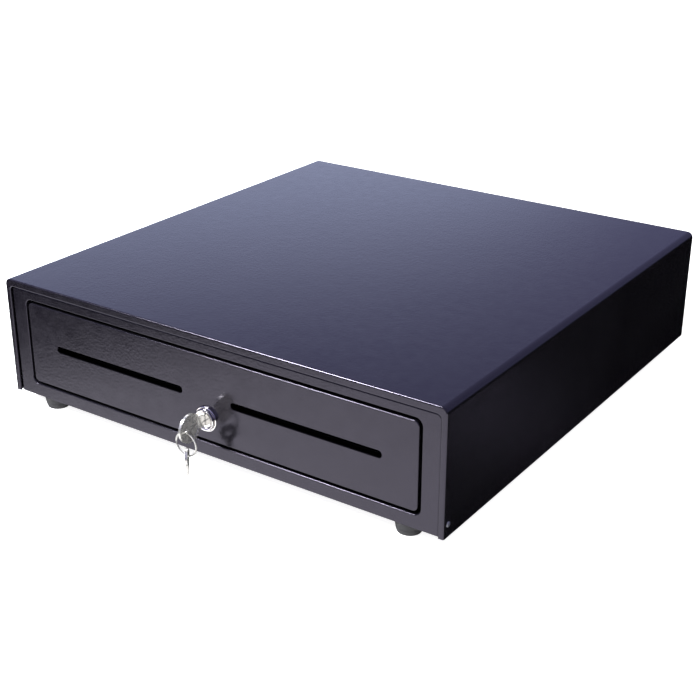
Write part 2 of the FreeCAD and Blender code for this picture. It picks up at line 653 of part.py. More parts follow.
def till_tray():
    """The moulded till: a bay for the coin tray in front, note compartments behind."""
    made = body("till_tray")
    half, floor, top = "till_width/2", "(ledge_height + till_wall)", "till_high + 1"
    pad(made, "z", ("ledge_height", "till_high"),
        rectangle((f"-{half}", half), ("-till_front", "till_back")))
    pocket(made, "z", (floor, top),
           rectangle((f"-{half} + till_wall", f"{half} - till_wall"),
                     ("-till_front + till_wall", "-coin_back")))
    pocket(made, "z", (floor, top), *[
        rounded((f"{bill_centre(n)} - {BILL_WIDTH}/2", f"{bill_centre(n)} + {BILL_WIDTH}/2"),
                ("-coin_back + till_wall", "till_back - till_wall"), "bay_round")
        for n in range(BILLS)])
    pocket(made, "x", (f"-{half} - 1", f"{half} + 1"),
           circle("clip_rod_y", "clip_rod_z", "clip_rod_radius + bore_gap"))
    return made


def coin_tray():
    """The removable coin tray, with rounded cups in two rows."""
    made = body("coin_tray")
    half = "(till_width/2 - till_wall - coin_gap)"
    front, back = "(-till_front + till_wall + coin_gap)", "(-coin_back - coin_gap)"
    low = "(ledge_height + till_wall + coin_lift)"
    wide = f"((2*{half} - {COIN_COLUMNS + 1} * till_wall) / {COIN_COLUMNS})"
    deep = f"(({back} - {front} - {COIN_ROWS + 1} * till_wall) / {COIN_ROWS})"
    pad(made, "z", (low, "coin_high"), rectangle((f"-{half}", half), (front, back)))
    cups = []
    for column in range(COIN_COLUMNS):
        left = f"(-{half} + till_wall + {column} * ({wide} + till_wall))"
        for line in range(COIN_ROWS):
            near = f"({front} + till_wall + {line} * ({deep} + till_wall))"
            cups.append(rounded((left, f"{left} + {wide}"), (near, f"{near} + {deep}"),
                                "cup_corner"))
    pocket(made, "z", (f"{low} + cup_floor", "coin_high + 1"), *cups)
    soften(made, "cup_round", lambda e: lies(e, "z", f"{low} + cup_floor"))
    return made


def bill_clip(number):
    """A sprung arm on the till's rod that holds the notes down, with a pad at its tip."""
    made = body(f"bill_clip_{number + 1}")
    middle = bill_centre(number)
    x = (f"{middle} - clip_width/2", f"{middle} + clip_width/2")
    tip_y = "(clip_rod_y - clip_length * cos(clip_angle))"
    tip_z = "(clip_rod_z - clip_length * sin(clip_angle))"
    off_y, off_z = "clip_thick/2 * sin(clip_angle)", "clip_thick/2 * cos(clip_angle)"
    pad(made, "x", x, circle("clip_rod_y", "clip_rod_z", "clip_hub_radius"))
    pad(made, "x", x, polygon([
        (f"clip_rod_y - {off_y}", f"clip_rod_z + {off_z}"),
        (f"{tip_y} - {off_y}", f"{tip_z} + {off_z}"),
        (f"{tip_y} + {off_y}", f"{tip_z} - {off_z}"),
        (f"clip_rod_y + {off_y}", f"clip_rod_z - {off_z}")]))
    pad(made, "x", x, circle(tip_y, tip_z, "clip_tip"))
    pocket(made, "x", (f"{x[0]} - 1", f"{x[1]} + 1"),
           circle("clip_rod_y", "clip_rod_z", "clip_rod_radius + bore_gap"))
    return made


def bill_clips():
    """The clips, the rod that they turn on, and a torsion spring beside each."""
    at = ("clip_rod_y", "clip_rod_z")
    half = "(till_width/2 - till_wall/2)"
    piece("clip_rod", [rod("clip_rod_bar", "x", "clip_rod_radius", (f"-{half}", half), at)])
    springs = []
    for n in range(BILLS):
        bill_clip(n)
        start = f"({bill_centre(n)} + clip_width/2 + clip_coil_gap)"
        end = f"({start} + clip_coil_length)"
        coil = rod(f"clip_coil_{n}", "x", "clip_coil_radius", (start, end), at)
        hollow = rod(f"clip_hollow_{n}", "x", "clip_rod_radius + clip_coil_play",
                     (f"{start} - 1", f"{end} + 1"), at)
        springs.append(cut(f"clip_spring_{n}", coil, [hollow]))
    piece("clip_springs", springs)


LOCK_FACE = "(-case_depth/2 - bezel_proud)"
LOCK_REAR = "-barrel_end"
CAM_REAR = "(-barrel_end + cam_gap + cam_sheet)"
FINGER_END = f"({CAM_REAR} + finger_length)"


def lock():
    """The chromed lock body, its nut, and the plug with its cam and eccentric finger."""
    at = ("0", "lock_height")
    bezel = rod("bezel_band", "y", "bezel_radius", (f"{LOCK_FACE} + bezel_chamfer", FRONT), at)
    nose = cone("bezel_nose", "y", ("bezel_radius - bezel_chamfer", "bezel_radius"),
                (LOCK_FACE, f"{LOCK_FACE} + bezel_chamfer"), at)
    dish = cone("bezel_bowl", "y", ("bezel_radius - bezel_rim", "plug_radius + dish_play"),
                (f"{LOCK_FACE} - 0.01", f"{LOCK_FACE} + dish_sink"), at)
    barrel = rod("lock_barrel", "y", "barrel_radius", (FRONT, LOCK_REAR), at)
    bore = rod("lock_bore", "y", "plug_radius + bore_gap",
               (f"{LOCK_FACE} - 1", f"{LOCK_REAR} + 1"), at)
    shell = fused("lock_shell", [bezel, nose, barrel])
    piece("lock_housing", [cut("lock_body", shell, [dish, bore])])

    hexagon = doc.addObject("Part::Prism", "nut_hexagon")
    hexagon.Polygon = 6
    hexagon.setExpression("Circumradius", bound("nut_across / 2 / cos(30)"))
    along(hexagon, "y", (f"{FRONT} + steel_sheet", f"{FRONT} + steel_sheet + nut_thick"), at)
    thread = rod("nut_thread", "y", "barrel_radius",
                 (FRONT, f"{FRONT} + 2*steel_sheet + nut_thick"), at)
    piece("lock_nut", [cut("nut_tapped", hexagon, [thread])])

    plug = rod("plug_turned", "y", "plug_radius", (f"{LOCK_FACE} + plug_sunk", LOCK_REAR), at)
    stub = rod("plug_stub", "y", "plug_radius/2", (LOCK_REAR, CAM_REAR), at)
    keyway = block("keyway", ("-keyway_width/2", "keyway_width/2"),
                   (f"{LOCK_FACE} - 1", f"{LOCK_REAR} - keyway_end"),
                   ("lock_height - keyway_height/2", "lock_height + keyway_height/2"))
    piece("lock_plug", [cut("plug_slotted", fused("plug_blank", [plug, stub]), [keyway])])

    cam_y = (f"{LOCK_REAR} + cam_gap", CAM_REAR)
    hub = rod("cam_hub", "y", "plug_radius", cam_y, at)
    arm = block("cam_arm", ("-finger_radius - cam_margin", "finger_radius + cam_margin"), cam_y,
                ("lock_height - cam_radius", "lock_height"))
    tip = rod("cam_tip", "y", "finger_radius + cam_margin", cam_y, ("0", "lock_height - cam_radius"))
    finger = rod("cam_finger", "y", "finger_radius", (CAM_REAR, FINGER_END),
                 ("0", "lock_height - cam_radius"))
    seat = rod("cam_seat", "y", "plug_radius/2", (LOCK_REAR, f"{CAM_REAR} + 1"), at)
    piece("lock_cam", [cut("cam_drilled", fused("cam_blank", [hub, arm, tip, finger]), [seat])])
    piece("cam_screw", [rod("cam_screw_head", "y", "screw_head_radius",
                            (CAM_REAR, f"{CAM_REAR} + cam_screw_head"), at)])


def lock_bar():
    """The flat bar under the till, from a fork round the cam's finger to the latch."""
    low, high = f"({TUB_FLOOR} + bar_lift)", f"({TUB_FLOOR} + bar_lift + bar_thick)"
    slack, start = "(finger_radius + fork_slack)", f"({FINGER_END} - fork_depth)"
    flat = block("bar_flat", (f"-{slack} - fork_prong", f"{slack} + fork_prong"),
                 (start, "tub_back + bar_past"), (low, high))
    prongs = [block(f"bar_prong_{side}", sided(sign, slack, f"{slack} + fork_prong"),
                    (start, FINGER_END), (low, "lock_height + finger_radius + fork_above"))
              for side, sign in SIDES.items()]
    pivot = ("0", "bar_pivot_y")
    hole = rod("bar_hole", "z", "axle_radius + bore_gap", (f"{low} - 1", f"{high} + 1"), pivot)
    piece("lock_bar", [cut("bar_drilled", fused("bar_blank", [flat, *prongs]), [hole])])
    under = f"({high} + pin_play)"
    shank = rod("rivet_shank", "z", "axle_radius", (TUB_FLOOR, f"{under} + rivet_head/2"), pivot)
    head = rod("rivet_crown", "z", "axle_radius*2", (under, f"{under} + rivet_head"), pivot)
    piece("bar_rivet", [fused("rivet", [shank, head])])


# a key's notches, in widths of its blade
NOTCH_DEPTHS = (0.1, 0.17, 0.12, 0.2)
NOTCH_START, NOTCH_PITCH, NOTCH_WIDTH = 0.37, 0.42, 0.18
# where a key's blade starts, in radii of its bow, and half the shoulder, in widths of its blade
BLADE_ROOT, SHOULDER_HALF = 0.7, 0.66


def flat_key(name, bow, centre, hole, neck, blade, length):
    """A flat key about its ring hole, with its blade along +Y and its faces across X."""
    x = ("-key_sheet/2", "key_sheet/2")
    disc = rod(name + "_disc", "x", bow, x, centre)
    root = f"{centre[0]} + {bow}*{BLADE_ROOT}"
    bit = block(name + "_bit", x, (root, length),
                (f"{centre[1]} - {blade}/2", f"{centre[1]} + {blade}/2"))
    shoulder = block(name + "_shoulder", x, (root, neck),
                     (f"{centre[1]} - {blade}*{SHOULDER_HALF}",
                      f"{centre[1]} + {blade}*{SHOULDER_HALF}"))
    eye = rod(name + "_eye", "x", hole, ("-key_sheet", "key_sheet"), ("0", "0"))
    notches = []
    for n, depth in enumerate(NOTCH_DEPTHS):
        far = f"{length} - {blade} * {NOTCH_START + NOTCH_PITCH * n:.2f}"
        near = f"{far} - {blade} * {NOTCH_WIDTH}"
        top = f"({centre[1]} + {blade}/2)"
        notches.append(block(f"{name}_notch_{n}", ("-key_sheet", "key_sheet"), (near, far),
                             (f"{top} - {blade} * {depth}", f"{top} + 1")))
    return cut(name, fused(name + "_blank", [disc, bit, shoulder]), [eye, *notches])


BOW_HOLE_Y = f"({LOCK_FACE} - bow_ahead - bow_hole_ahead)"
BOW_HOLE_Z = "(lock_height - bow_hole_drop)"
RING_Z = f"({BOW_HOLE_Z} - bow_hole_radius + ring_wire + ring_play - ring_radius)"


def keys():
    """The key in the lock, the ring through its bow, and the spare key on the ring."""
    main = flat_key("key_cut", "bow_radius", ("bow_hole_ahead", "bow_hole_drop"),
                    "bow_hole_radius", "bow_hole_ahead + bow_ahead - key_short", "key_blade",
                    "bow_hole_ahead + bow_ahead + key_blade_length - key_short")
    main.setExpression("Placement.Base.y", bound(BOW_HOLE_Y))
    main.setExpression("Placement.Base.z", bound(BOW_HOLE_Z))
    piece("key", [main])

    ring = doc.addObject("Part::Torus", "ring_wire_bent")
    ring.Placement = FreeCAD.Placement(Vector(), AXIS_TURN["y"])
    ring.setExpression("Radius1", bound("ring_radius"))
    ring.setExpression("Radius2", bound("ring_wire"))
    ring.setExpression("Placement.Base.y", bound(BOW_HOLE_Y))
    ring.setExpression("Placement.Base.z", bound(RING_Z))
    piece("key_ring", [ring])

    spare = flat_key("spare_cut", "spare_bow", ("0", "0"), "spare_hole", "spare_bow + 1",
                     "spare_blade_width", "spare_bow + spare_blade")
    hang = FreeCAD.Rotation(Vector(1, 0, 0), -90)
    turn = FreeCAD.Rotation(Vector(0, 0, 1), value("spare_turn"))
    spare.Placement = FreeCAD.Placement(Vector(), turn * hang)
    spare.setExpression("Placement.Base.y", bound(BOW_HOLE_Y))
    spare.setExpression("Placement.Base.z", bound(
        f"{RING_Z} - ring_radius + ring_wire + spare_play - spare_hole"))
    piece("spare_key", [spare])


BRACKET = ("(latch_x - 102)", "(latch_x + 23)")
PLUNGER_Y = "(latch_y - solenoid_ahead)"
COIL = ("(latch_x - 94)", "(latch_x - 48)")
PIN_X = "(latch_x - 7.24)"


def latch_hook():
    """The hook that holds the striker, drawn engaged and turned back to its released rest."""
    made = body("latch_hook")
    front = "(-striker_ahead - striker_radius - hook_play)"
    back, nose = "(-striker_ahead - hook_throat)", "striker_side + hook_nose"
    pad(made, "z", ("0", "latch_sheet"), polygon([
        ("-hook_half", "hook_half"), ("hook_half", "hook_half"), ("hook_half", "-hook_root"),
        ("hook_neck", "-hook_waist"), ("hook_neck", front), (nose, front), (nose, back),
        ("-hook_half", back)]))
    pocket(made, "z", ("-1", "latch_sheet + 1"),
           circle("0", "0", "latch_pin_radius + bore_gap"),
           rounded(("-pin_slot_mid - pin_slot_half", "-pin_slot_mid + pin_slot_half"),
                   ("-solenoid_ahead - pin_slot_long", "-solenoid_ahead + pin_slot_short"),
                   "pin_slot_half*0.95"))
    released = FreeCAD.Rotation(Vector(0, 0, -1), value("latch_angle"))
    made.Placement = FreeCAD.Placement(Vector(), released)
    for axis in "xyz":
        made.setExpression(f"Placement.Base.{axis}", bound(f"latch_{axis}"))
    return made


def latch_bracket():
    """The bent bracket on the case floor that carries the latch and its solenoid."""
    made = body("latch_bracket")
    left, right = BRACKET
    t, top, low = "bracket_sheet", "bracket_high", PAN_TOP
    pad(made, "y", ("latch_y - bracket_front", "latch_y + bracket_rear"), polygon([
        (f"{left} - bracket_foot", low), (left + f" + {t}", low), (left + f" + {t}", f"{top} - {t}"),
        (right + f" - {t}", f"{top} - {t}"), (right + f" - {t}", low),
        (f"{right} + bracket_foot", low), (f"{right} + bracket_foot", f"{low} + {t}"),
        (right, f"{low} + {t}"), (right, top),
        (left, top), (left, f"{low} + {t}"), (f"{left} - bracket_foot", f"{low} + {t}")]))
    return made


def latch_pin():
    """The shouldered pin that the hook turns on, with its retaining head."""
    at = ("latch_x", "latch_y")
    under = "(latch_z + latch_sheet + pin_play)"
    shoulder = rod("pin_shoulder", "z", "latch_pin_radius + pin_collar",
                   ("bracket_high", "latch_z - pin_play"), at)
    shaft = rod("pin_shaft", "z", "latch_pin_radius",
                ("bracket_high", f"{under} + pin_head/2"), at)
    head = rod("pin_crown", "z", "latch_pin_radius + pin_collar",
               (under, f"{under} + pin_head"), at)
    piece("latch_pin", [fused("pin_turned", [shoulder, shaft, head])])


def solenoid():
    """The solenoid's open frame and coil, its plunger with the fork, and the return spring."""
    made = body("solenoid_frame")
    left, right = COIL
    wide = (f"{PLUNGER_Y} - solenoid_width/2", f"{PLUNGER_Y} + solenoid_width/2")
    low, high, steel = "bracket_high", "(2*solenoid_z - bracket_high)", "solenoid_sheet"
    pad(made, "y", wide, polygon([
        (left, low), (right, low), (right, high), (f"{right} - {steel}", high),
        (f"{right} - {steel}", f"{low} + {steel}"), (f"{left} + {steel}", f"{low} + {steel}"),
        (f"{left} + {steel}", high), (left, high)]))
    pocket(made, "x", (f"{right} - {steel} - 1", f"{right} + 1"),
           circle(PLUNGER_Y, "solenoid_z", "plunger_radius + bore_gap"))
    at = (PLUNGER_Y, "solenoid_z")
    winding = rod("coil_winding", "x", "coil_radius", (f"{left} + {steel}", f"{right} - {steel}"),
                  at)
    core = rod("coil_core", "x", "plunger_radius + bore_gap", (f"{left} + core_start", right), at)
    piece("solenoid_coil", [cut("coil_wound", winding, [core])])

    shaft = rod("plunger_shaft", "x", "plunger_radius",
                (f"{left} + plunger_start", f"{PIN_X} - plunger_end"), at)
    collar = rod("plunger_collar", "x", "collar_radius",
                 (f"{PIN_X} - collar_near", f"{PIN_X} - collar_far"), at)
    cheek = (f"{PLUNGER_Y} - cheek_half", f"{PLUNGER_Y} + cheek_half")
    fork = block("plunger_fork", (f"{PIN_X} - 7", f"{PIN_X} + 4"), cheek,
                 ("solenoid_z - fork_half", "solenoid_z + fork_half"))
    mouth = block("plunger_mouth", (f"{PIN_X} - 5.7", f"{PIN_X} + 5"),
                  (f"{PLUNGER_Y} - 5", f"{PLUNGER_Y} + 5"),
                  ("latch_z - hook_play", "latch_z + latch_sheet + hook_play"))
    pin = rod("plunger_pin", "z", "1.5", ("solenoid_z - 4", "solenoid_z + 4"),
              (PIN_X, PLUNGER_Y))
    forked = cut("plunger_forked", fused("plunger_blank", [shaft, collar, fork]), [mouth])
    piece("plunger", [fused("plunger_pinned", [forked, pin])])

    end = f"({PIN_X} - collar_near)"
    outer = rod("return_outer", "x", "plunger_radius + spring_play + spring_wire",
                (f"{right} + seat_play", f"{end} - seat_play"), at)
    inner = rod("return_inner", "x", "plunger_radius + spring_play", (right, end), at)
    piece("plunger_spring", [cut("return_spring", outer, [inner])])


def striker():
    """The steel loop on the back of the drawer whose upright pin the hook catches."""
    x = ("latch_x + striker_side", "latch_y - striker_ahead")
    seat = block("striker_seat", (f"{x[0]} - striker_half", f"{x[0]} + striker_half"),
                 ("tub_back", "tub_back + bracket_sheet"),
                 ("latch_z - striker_high", "latch_z + striker_high"))
    ears = [block(f"striker_ear_{n}", (f"{x[0]} - ear_half", f"{x[0]} + ear_half"),
                  ("tub_back + bracket_sheet", f"{x[1]} + ear_past"), (low, f"{low} + ear_sheet"))
            for n, low in enumerate(("latch_z - ear_gap", "latch_z + ear_gap"))]
    pin = rod("striker_pin", "z", "striker_radius",
              ("latch_z - ear_gap + ear_sheet/2", "latch_z + ear_gap + ear_sheet/2"), x)
    piece("striker", [fused("striker_welded", [seat, *ears, pin])])


def ejectors():
    """Two guide rods on the rear panel, each with the spring that pushes the drawer open."""
    rods, springs = [], []
    for side, sign in SIDES.items():
        at = (f"{sign} * eject_x", "eject_z")
        shaft = rod(f"guide_{side}_rod", "y", "eject_radius - guide_play",
                    (f"{PANEL} - guide_length", PANEL), at)
        flange = rod(f"guide_{side}_flange", "y", "eject_radius + pin_collar",
                     (f"{PANEL} - guide_flange", PANEL), at)
        rods.append(fused(f"guide_{side}", [shaft, flange]))
        reach = ("tub_back + spring_gap", f"{PANEL} - guide_flange - seat_play")
        outer = rod(f"eject_{side}_outer", "y", "eject_radius", reach, at)
        inner = rod(f"eject_{side}_inner", "y", "eject_radius - spring_wire",
                    ("tub_back", PANEL), at)
        springs.append(cut(f"eject_{side}_coil", outer, [inner]))
    piece("eject_guides", rods)
    piece("eject_springs", springs)


def electrics():
    """The switch that reports the drawer open, with its button, and the cable's socket."""
    side = BRACKET[1]
    near, far = f"({side} + button_inset)", f"({side} + button_inset + button_wide)"
    case = block("switch_case", (side, f"{side} + switch_wide"),
                 ("tub_back + switch_start", "latch_y - bracket_foot"),
                 ("switch_low", "switch_high"))
    well = block("switch_well", (f"{near} - seat_play", f"{far} + seat_play"),
                 ("tub_back + switch_start - 1", "tub_back + well_end"),
                 ("button_low - seat_play", "button_high + seat_play"))
    piece("drawer_switch", [cut("switch_moulded", case, [well])])
    piece("switch_button", [block("button_moulded", (near, far),
                                  ("tub_back + button_proud", "tub_back + button_end"),
                                  ("button_low", "button_high"))])
    shell = block("socket_shell", ("socket_x - socket_half", "socket_x + socket_half"),
                  (f"{PANEL} - socket_depth", BACK),
                  ("socket_z - socket_half", "socket_z + socket_half"))
    mouth = block("socket_mouth", ("socket_x - mouth_half", "socket_x + mouth_half"),
                  (f"{PANEL} - mouth_depth", f"{BACK} + 1"),
                  ("socket_z - mouth_low", "socket_z + mouth_high"))
    piece("cable_socket", [cut("socket_moulded", shell, [mouth])])


def check_and_write():
    """Refuses a failed object or a broken solid, then writes one file for each piece."""
    doc.recompute()
    failed = [o.Name for o in doc.Objects if {"Invalid", "Error"} & set(o.State)]
    broken = [p.Label for p in pieces if p.Shape.isNull() or not p.Shape.isValid()]
    if failed or broken:
        raise RuntimeError(f"failed objects: {failed}; broken pieces: {broken}")
    os.makedirs("parts", exist_ok=True)
    for made in pieces:
        made.Shape.exportStep(f"parts/{made.Label}.step")
        print(made.Label, len(made.Shape.Solids), round(made.Shape.Volume, 1))


outer_cover()
base_pan()
rear_panel()
front_frame()
rollers()
feet()
case_screws()
drawer_front()
drawer_tub()
for place, direction in SIDES.items():
    case_rail(place, direction)
    drawer_rail(place, direction)
    till_ledge(place, direction)
till_tray()
coin_tray()
bill_clips()
lock()
lock_bar()
keys()
latch_hook()
latch_bracket()
latch_pin()
solenoid()
striker()
ejectors()
electrics()
check_and_write()
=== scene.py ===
"""The looks of a steel cash drawer: detailed pieces, materials, light and camera.

Lengths are in metres in the frame's own axes: the front faces -Y, +Z is up, and the origin
is the centre of the footprint. MM turns a length in millimetres into metres.
"""

import json
import math

import bmesh
import bpy
from mathutils import Matrix, Vector


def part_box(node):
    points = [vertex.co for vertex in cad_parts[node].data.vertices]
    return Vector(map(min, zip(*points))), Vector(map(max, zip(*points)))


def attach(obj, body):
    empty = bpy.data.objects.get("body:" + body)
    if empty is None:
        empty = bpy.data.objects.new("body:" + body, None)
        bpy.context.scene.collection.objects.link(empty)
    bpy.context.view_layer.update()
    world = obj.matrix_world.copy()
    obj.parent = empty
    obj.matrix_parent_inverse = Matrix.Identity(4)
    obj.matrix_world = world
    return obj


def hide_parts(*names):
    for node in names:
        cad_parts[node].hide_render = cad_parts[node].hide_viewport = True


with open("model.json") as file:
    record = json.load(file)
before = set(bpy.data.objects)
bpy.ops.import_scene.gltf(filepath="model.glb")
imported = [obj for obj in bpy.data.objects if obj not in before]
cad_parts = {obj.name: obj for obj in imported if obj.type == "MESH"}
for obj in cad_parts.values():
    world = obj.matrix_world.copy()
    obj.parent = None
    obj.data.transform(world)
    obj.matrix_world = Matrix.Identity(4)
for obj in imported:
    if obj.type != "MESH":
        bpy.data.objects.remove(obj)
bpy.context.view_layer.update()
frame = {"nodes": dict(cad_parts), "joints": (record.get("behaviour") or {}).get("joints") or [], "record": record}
nodes = frame["nodes"]
body_of = {n: body for body, group in frame["record"]["behaviour"]["bodies"].items() for n in group}
SLOTS = {part["node"]: part["material_slot"] for part in frame["record"]["subparts"]}

MM = 0.001
X, Y, Z = Vector((1, 0, 0)), Vector((0, 1, 0)), Vector((0, 0, 1))
SMOOTH_UNDER = math.radians(35)
BEVEL_OVER = math.radians(30)
FLAT_UNDER = math.radians(0.5)
WELD = 0.001 * MM


# ---- camera ----

CAMERA_PLACE = Vector((0.5732, -0.8577, 0.4771))
CAMERA_TURN = math.radians(34.55)
CAMERA_DIP = math.radians(23.915)
CAMERA_ROLL = math.radians(-0.107)
CAMERA_LENS = 67.0


def camera():
    """Looks down at the front and the right-hand side."""
    lens = bpy.data.cameras.new("camera")
    lens.lens = CAMERA_LENS
    lens.sensor_width = 36
    lens.clip_end = 50
    made = bpy.data.objects.new("camera", lens)
    made.location = CAMERA_PLACE
    made.rotation_euler = (math.pi / 2 - CAMERA_DIP, CAMERA_ROLL, CAMERA_TURN)
    bpy.context.scene.collection.objects.link(made)
    bpy.context.scene.camera = made


# ---- materials ----


class Finish:
    """A node material built on one Principled shader, textured in the object's own space."""

    def __init__(self, name, colour, roughness, **inputs):
        self.made = bpy.data.materials.new(name)
        self.made.use_nodes = True
        self.tree = self.made.node_tree
        self.shader = self.tree.nodes["Principled BSDF"]
        self.shader.inputs["Base Color"].default_value = (*colour, 1)
        self.shader.inputs["Roughness"].default_value = roughness
        for socket, number in inputs.items():
            self.shader.inputs[socket.replace("_", " ")].default_value = number
        self.place = self.node("ShaderNodeTexCoord").outputs["Object"]

    def node(self, kind, **settings):
        made = self.tree.nodes.new(kind)
        for name, setting in settings.items():
            setattr(made, name, setting)
        return made

    def link(self, source, target):
        self.tree.links.new(source, target)

    def noise(self, cell, detail=3.0, stretch=(1, 1, 1)):
        """Noise with cells of a size in metres, drawn out along the axes by stretch."""
        mapping = self.node("ShaderNodeMapping")
        mapping.inputs["Scale"].default_value = [1 / (cell * s) for s in stretch]
        self.link(self.place, mapping.inputs["Vector"])
        texture = self.node("ShaderNodeTexNoise")
        texture.inputs["Scale"].default_value = 1
        texture.inputs["Detail"].default_value = detail
        self.link(mapping.outputs["Vector"], texture.inputs["Vector"])
        return texture.outputs["Fac"]

    def pebbles(self, cell, feature="SMOOTH_F1"):
        """The distance to the nearest of many scattered points."""
        texture = self.node("ShaderNodeTexVoronoi", feature=feature)
        texture.inputs["Scale"].default_value = 1 / cell
        self.link(self.place, texture.inputs["Vector"])
        return texture.outputs["Distance"]

    def spread(self, source, low, high, start=0.3, end=0.7):
        """The source's values from start to end, spread over low to high."""
        made = self.node("ShaderNodeMapRange")
        for socket, number in (("From Min", start), ("From Max", end),
                               ("To Min", low), ("To Max", high)):
            made.inputs[socket].default_value = number
        self.link(source, made.inputs["Value"])
        return made.outputs["Result"]

    def both(self, first, second, how="MULTIPLY"):
        made = self.node("ShaderNodeMath", operation=how)
        self.link(first, made.inputs[0])
        self.link(second, made.inputs[1])
        return made.outputs["Value"]

    def colours(self, source, *stops):
        """Colours the source's values between stops of (place, colour)."""
        ramp = self.node("ShaderNodeValToRGB")
        points = ramp.color_ramp.elements
        for point, (at, colour) in zip(points, (stops[0], stops[-1])):
            point.position, point.color = at, (*colour, 1)
        for at, colour in stops[1:-1]:
            points.new(at).color = (*colour, 1)
        self.link(source, ramp.inputs["Fac"])
        self.link(ramp.outputs["Color"], self.shader.inputs["Base Color"])

    def rough(self, source):
        self.link(source, self.shader.inputs["Roughness"])

    def bump(self, source, depth, strength):
        """Raises the surface by the source; bumps given one after another add up."""
        made = self.node("ShaderNodeBump")
        made.inputs["Distance"].default_value = depth
        made.inputs["Strength"].default_value = strength
        self.link(source, made.inputs["Height"])
        before = self.shader.inputs["Normal"].links
        if before:
            self.link(before[0].from_socket, made.inputs["Normal"])
        self.link(made.outputs["Normal"], self.shader.inputs["Normal"])


def powder_coat(name):
    """Black powder coat: a glossy pebbled skin with shallow orange peel under it."""
    coat = Finish(name, (0.004, 0.0036, 0.005), 0.2, IOR=1.5)
    coat.shader.inputs["Specular Tint"].default_value = (0.88, 0.81, 1, 1)
    coat.colours(coat.noise(45 * MM, 4), (0.3, (0.0032, 0.0029, 0.004)),
                 (0.7, (0.0048, 0.0044, 0.006)))
    coat.rough(coat.spread(coat.noise(9 * MM, 4), 0.13, 0.19))
    coat.bump(coat.noise(11 * MM, 1), 0.04 * MM, 0.6)
    coat.bump(coat.pebbles(1.9 * MM), 0.05 * MM, 0.6)
    coat.bump(coat.noise(0.6 * MM, 2), 0.012 * MM, 0.6)
    return coat.made


def zinc():
    """Zinc plate with a faint grain along the sheet and a soft bloom."""
    plate = Finish("zinc_plate", (0.55, 0.56, 0.58), 0.34, Metallic=1.0)
    bloom = plate.noise(14 * MM, 5)
    plate.colours(bloom, (0.3, (0.42, 0.43, 0.46)), (0.5, (0.56, 0.57, 0.59)),
                  (0.7, (0.63, 0.62, 0.58)))
    plate.rough(plate.spread(plate.noise(3 * MM, 5), 0.26, 0.46))
    plate.bump(plate.noise(0.35 * MM, 3, (1, 40, 1)), 0.02 * MM, 0.5)
    return plate.made


def polished(name, colour, low, high, scratch, metallic=1.0):
    """Plated metal with fine crossing rub marks."""
    plate = Finish(name, colour, low, Metallic=metallic)
    film = plate.noise(6 * MM, 4)
    plate.colours(film, (0.3, [c * 0.9 for c in colour]), (0.7, colour))
    marks = plate.both(plate.noise(0.16 * MM, 2, (1, 1, 30)), plate.noise(0.16 * MM, 2, (1, 30, 1)))
    plate.rough(plate.spread(plate.both(film, marks, "ADD"), low, high, 0.5, 1.1))
    plate.bump(marks, scratch, 0.5)
    return plate.made


def rubber():
    """Moulded rubber, matt and slightly dusty."""
    skin = Finish("moulded_rubber", (0.02, 0.02, 0.021), 0.7)
    dust = skin.noise(7 * MM, 5)
    skin.colours(dust, (0.35, (0.013, 0.013, 0.014)), (0.7, (0.034, 0.033, 0.032)))
    skin.rough(skin.spread(dust, 0.55, 0.85))
    skin.bump(skin.noise(0.7 * MM, 3), 0.05 * MM, 0.6)
    return skin.made


def moulded_plastic(name, dark, light, low, high):
    """Moulded plastic with a spark-eroded grain."""
    skin = Finish(name, dark, low)
    skin.colours(skin.noise(30 * MM, 3), (0.3, dark), (0.7, light))
    skin.rough(skin.spread(skin.noise(4 * MM, 3), low, high))
    skin.bump(skin.pebbles(0.55 * MM, "F1"), 0.05 * MM, 0.5)
    return skin.made


def winding_tape():
    """Copper turns under clear amber tape."""
    wound = Finish("coil_tape", (0.45, 0.17, 0.06), 0.3, Metallic=0.6, Coat_Weight=0.6,
                   Coat_Roughness=0.15)
    turns = wound.noise(0.5 * MM, 1, (1, 60, 60))
    wound.colours(turns, (0.35, (0.24, 0.075, 0.025)), (0.65, (0.62, 0.26, 0.1)))
    wound.rough(wound.spread(wound.noise(3 * MM), 0.22, 0.45))
    wound.bump(turns, 0.04 * MM, 0.5)
    return wound.made


FINISHES = {
    "black_powder_coat": powder_coat("black_powder_coat"),
    "zinc_steel": zinc(),
    "chrome_plate": polished("chrome_plate", (0.9, 0.88, 0.84), 0.07, 0.15, 0.004 * MM),
    "nickel_key": polished("nickel_plate", (0.56, 0.55, 0.51), 0.2, 0.36, 0.012 * MM, 0.8),
    "black_rubber": rubber(),
    "black_abs": moulded_plastic("black_abs", (0.014, 0.014, 0.016), (0.021, 0.021, 0.023),
                                 0.42, 0.56),
    "white_nylon": moulded_plastic("white_nylon", (0.72, 0.71, 0.66), (0.8, 0.79, 0.74),
                                   0.4, 0.52),
    "copper_winding": winding_tape(),
    "spring_steel": polished("spring_steel", (0.42, 0.42, 0.45), 0.24, 0.4, 0.01 * MM),
}


# ---- making pieces ----


def linked(name, mesh):
    made = bpy.data.objects.new(name, mesh)
    bpy.context.scene.collection.objects.link(made)
    return made


def from_bmesh(name, bm):
    """An object from a finished bmesh, with its faces turned outwards."""
    bmesh.ops.recalc_face_normals(bm, faces=bm.faces)
    mesh = bpy.data.meshes.new(name)
    bm.to_mesh(mesh)
    bm.free()
    return linked(name, mesh)


def applied(obj):
    """Leaves the object as the mesh that its modifiers make."""
    graph = bpy.context.evaluated_depsgraph_get()
    made = bpy.data.meshes.new_from_object(obj.evaluated_get(graph))
    obj.modifiers.clear()
    obj.data = made
    return obj


